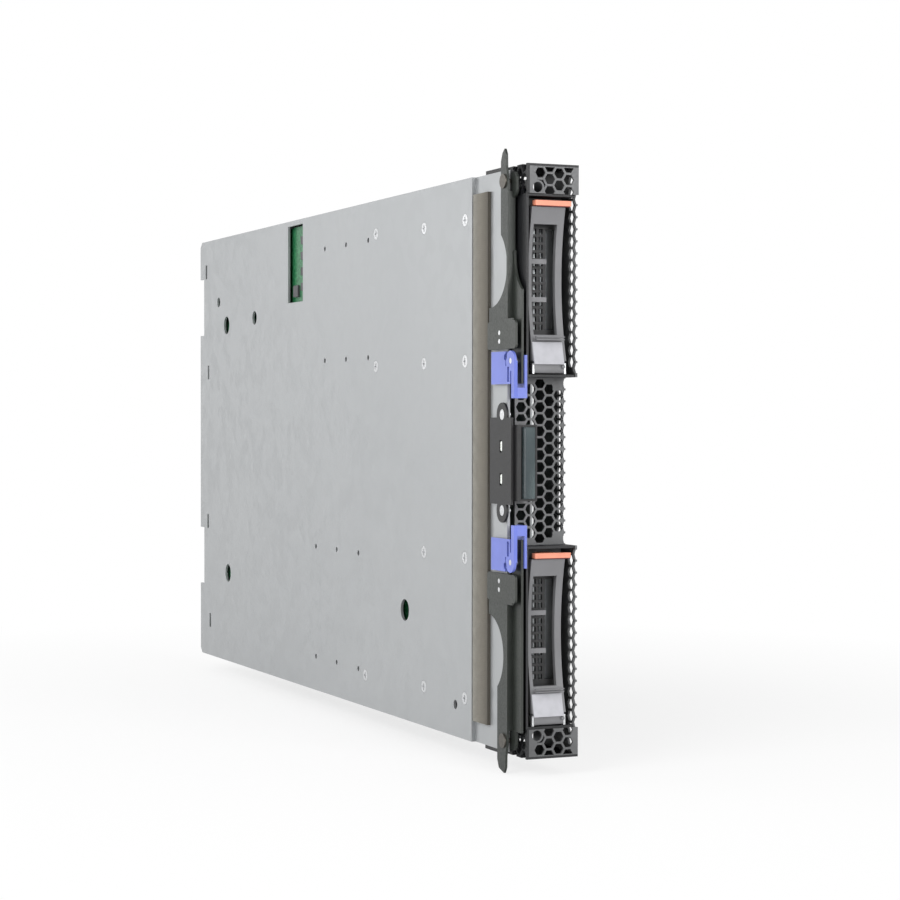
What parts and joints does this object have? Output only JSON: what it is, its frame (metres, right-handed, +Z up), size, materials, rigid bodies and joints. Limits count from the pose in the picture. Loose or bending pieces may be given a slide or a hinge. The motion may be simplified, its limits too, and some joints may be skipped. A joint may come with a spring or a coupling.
{
  "type": "blade server",
  "caption": "Slim upright blade server with a galvanised pan and cover, black honeycomb front, hot-swap drive bays, small control panel and ejector levers with blue grips.",
  "frame": {"origin": "centre of the lower guide face of the pan: middle of the width, middle of the depth from the bezel face to the pan's rear edge", "axes": "+Z up to the upper guide face, +Y to the rear connectors, the front faces -Y, +X to the cover"},
  "size_m": [0.029, 0.4442, 0.2588],
  "materials": {
    "galvanised": "galvanised sheet, faint spangle",
    "gasket": "conductive woven gasket",
    "black_sheet": "black perforated sheet, satin",
    "black_cage": "black sheet",
    "circuit_board": "green solder mask",
    "black_plastic": "moulded, matt",
    "screws": "zinc plated",
    "pivot_pins": "dark bronze-grey pin",
    "standoffs": "machined",
    "ivory_plastic": "moulded, matt",
    "heatsinks": "extruded, plain",
    "components": "chips, coils and capacitors",
    "light_pipes": "frosted light guide",
    "smoked_door": "smoked translucent",
    "power_cap": "white push button",
    "grey_caps": "push button",
    "lever_sheet": "dark green-black, satin",
    "blue_touch": "periwinkle blue moulding",
    "drive_case": "cast drive case",
    "handle_grey": "moulded, satin",
    "label_grey": "bare plate",
    "latch_orange": "coral orange touch point"
  },
  "bodies": {
    "blade": {"base_pan": "galvanised", "side_gasket": "gasket", "bezel_top": "black_sheet", "bezel_bottom": "black_sheet", "centre_grille": "black_sheet", "upper_grille": "black_sheet", "lower_grille": "black_sheet", "side_grille": "black_sheet", "drive_bay_upper": "black_cage", "drive_bay_lower": "black_cage", "backplane_boards": "circuit_board", "backplane_connectors": "black_plastic", "pan_screws": "screws", "system_board": "circuit_board", "board_standoffs": "standoffs", "board_screws": "screws", "processor_sockets": "ivory_plastic", "processors": "screws", "heatsink_front": "heatsinks", "heatsink_rear": "heatsinks", "heatsink_screws": "screws", "memory_sockets": "black_plastic", "memory_modules": "circuit_board", "chipset_heatsink": "heatsinks", "battery_holder": "black_plastic", "coin_cell": "screws", "expansion_connectors": "ivory_plastic", "midplane_connectors": "black_plastic", "board_components": "components", "control_panel_housing": "black_plastic", "control_panel_screws": "screws", "control_panel_board": "circuit_board", "status_light_pipes": "light_pipes", "cover_hinge_pins": "screws", "lever_pins": "pivot_pins"},
    "lever_upper": {"lever_upper": "lever_sheet", "grip_pins_upper": "screws"},
    "lever_lower": {"lever_lower": "lever_sheet", "grip_pins_lower": "screws"},
    "grip_upper": {"grip_upper": "blue_touch"},
    "grip_lower": {"grip_lower": "blue_touch"},
    "carrier_upper": {"carrier_upper": "black_plastic", "drive_upper": "drive_case", "handle_hinge_upper": "screws"},
    "carrier_lower": {"carrier_lower": "black_plastic", "drive_lower": "drive_case", "handle_hinge_lower": "screws"},
    "handle_upper": {"handle_upper": "handle_grey", "handle_label_upper": "label_grey"},
    "handle_lower": {"handle_lower": "handle_grey", "handle_label_lower": "label_grey"},
    "latch_upper": {"latch_upper": "latch_orange"},
    "latch_lower": {"latch_lower": "latch_orange"},
    "door": {"control_panel_door": "smoked_door"},
    "power_button": {"power_button": "power_cap"},
    "media_button": {"media_button": "grey_caps"},
    "kvm_button": {"kvm_button": "grey_caps"},
    "cover": {"cover": "galvanised"},
    "cover_release_upper": {"cover_release_upper": "blue_touch"},
    "cover_release_lower": {"cover_release_lower": "blue_touch"}
  },
  "joints": [
    {"name": "lever_lower_swing", "type": "hinge", "parent": "blade", "child": "lever_lower", "pos_m": [-0.0126, -0.2064, 0.0046], "axis": [1, 0, 0], "range_deg": [0, 50]},
    {"name": "lever_upper_swing", "type": "hinge", "parent": "blade", "child": "lever_upper", "pos_m": [-0.0126, -0.2064, 0.2366], "axis": [-1, 0, 0], "range_deg": [0, 50]},
    {"name": "grip_lower_squeeze", "type": "hinge", "parent": "lever_lower", "child": "grip_lower", "pos_m": [-0.0126, -0.2143, 0.0791], "axis": [1, 0, 0], "range_deg": [0, 12], "stiffness_Nm_per_rad": 0.05, "springref_deg": -5.73},
    {"name": "grip_upper_squeeze", "type": "hinge", "parent": "lever_upper", "child": "grip_upper", "pos_m": [-0.0126, -0.2143, 0.1621], "axis": [-1, 0, 0], "range_deg": [0, 12], "stiffness_Nm_per_rad": 0.05, "springref_deg": -5.73},
    {"name": "carrier_lower_slide", "type": "slide", "parent": "blade", "child": "carrier_lower", "axis": [0, -1, 0], "range_m": [0, 0.1]},
    {"name": "handle_lower_swing", "type": "hinge", "parent": "carrier_lower", "child": "handle_lower", "pos_m": [0, -0.2174, 0.0133], "axis": [1, 0, 0], "range_deg": [0, 70]},
    {"name": "latch_lower_push", "type": "slide", "parent": "carrier_lower", "child": "latch_lower", "axis": [0, 1, 0], "range_m": [0, 0.0015], "stiffness_N_per_m": 300, "springref_m": -0.002},
    {"name": "carrier_upper_slide", "type": "slide", "parent": "blade", "child": "carrier_upper", "axis": [0, -1, 0], "range_m": [0, 0.1]},
    {"name": "handle_upper_swing", "type": "hinge", "parent": "carrier_upper", "child": "handle_upper", "pos_m": [0, -0.2174, 0.1585], "axis": [1, 0, 0], "range_deg": [0, 70]},
    {"name": "latch_upper_push", "type": "slide", "parent": "carrier_upper", "child": "latch_upper", "axis": [0, 1, 0], "range_m": [0, 0.0015], "stiffness_N_per_m": 300, "springref_m": -0.002},
    {"name": "door_swing", "type": "hinge", "parent": "blade", "child": "door", "pos_m": [-0.0103, -0.21805, 0.1206], "axis": [0, 0, -1], "range_deg": [0, 90]},
    {"name": "power_button_push", "type": "slide", "parent": "blade", "child": "power_button", "axis": [0, 1, 0], "range_m": [0, 0.001], "stiffness_N_per_m": 300, "springref_m": -0.001},
    {"name": "media_button_push", "type": "slide", "parent": "blade", "child": "media_button", "axis": [0, 1, 0], "range_m": [0, 0.001], "stiffness_N_per_m": 300, "springref_m": -0.001},
    {"name": "kvm_button_push", "type": "slide", "parent": "blade", "child": "kvm_button", "axis": [0, 1, 0], "range_m": [0, 0.001], "stiffness_N_per_m": 300, "springref_m": -0.001},
    {"name": "cover_swing", "type": "hinge", "parent": "blade", "child": "cover", "pos_m": [0.0089, 0.213, 0.1206], "axis": [0, 0, 1], "range_deg": [0, 85]},
    {"name": "cover_release_lower_push", "type": "slide", "parent": "cover", "child": "cover_release_lower", "axis": [0, 0, 1], "range_m": [0, 0.003], "stiffness_N_per_m": 300, "springref_m": -0.002},
    {"name": "cover_release_upper_push", "type": "slide", "parent": "cover", "child": "cover_release_upper", "axis": [0, 0, -1], "range_m": [0, 0.003], "stiffness_N_per_m": 300, "springref_m": -0.002}
  ]
}
